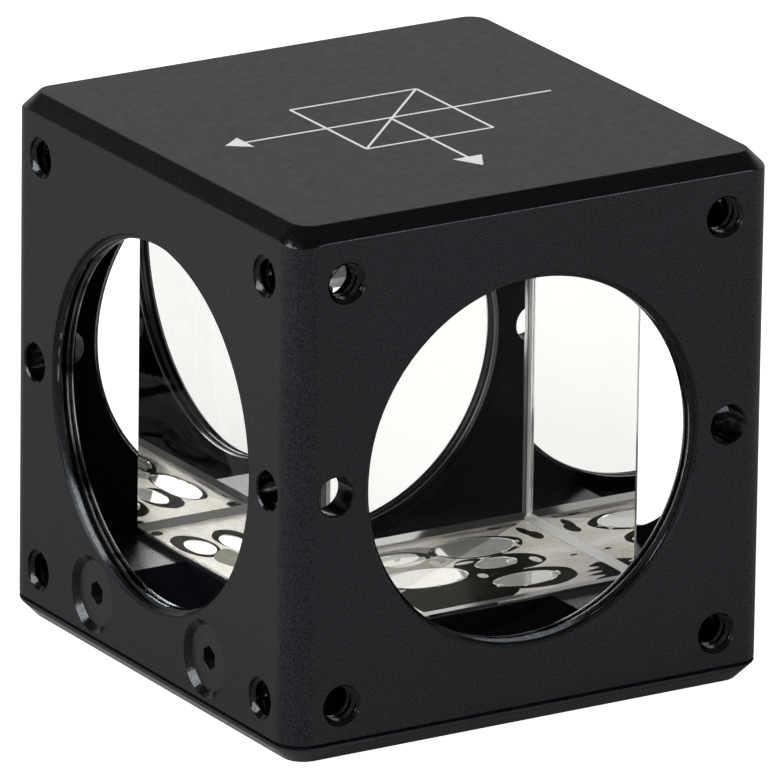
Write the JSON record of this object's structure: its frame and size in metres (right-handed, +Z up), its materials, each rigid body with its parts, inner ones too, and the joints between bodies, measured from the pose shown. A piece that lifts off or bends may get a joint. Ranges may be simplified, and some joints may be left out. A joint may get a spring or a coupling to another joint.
{
  "type": "beamsplitter cube",
  "caption": "Black anodised cube with a threaded port in every side and a cemented glass prism cube inside that splits a beam at right angles.",
  "frame": {"origin": "centre of the mounting face under the base", "axes": "+Z up along the post hole, +X out of the right port, -Y out of the front port"},
  "size_m": [0.0382, 0.0382, 0.0381],
  "materials": {
    "housing_anodise": "fine bead-blasted black anodise",
    "base_anodise": "fine black anodise",
    "optical_glass": "polished",
    "beamsplitter_coating": "half-silvered layer",
    "optic_adhesive": "cured clear adhesive",
    "screw_steel": "black oxide"
  },
  "bodies": {
    "root": {"housing": "housing_anodise", "base": "base_anodise", "prism_rear_left": "optical_glass", "prism_front_right": "optical_glass", "beamsplitter_layer": "beamsplitter_coating", "optic_adhesive": "optic_adhesive", "screw_left_front": "screw_steel", "screw_left_rear": "screw_steel", "screw_right_front": "screw_steel", "screw_right_rear": "screw_steel"}
  },
  "joints": []
}
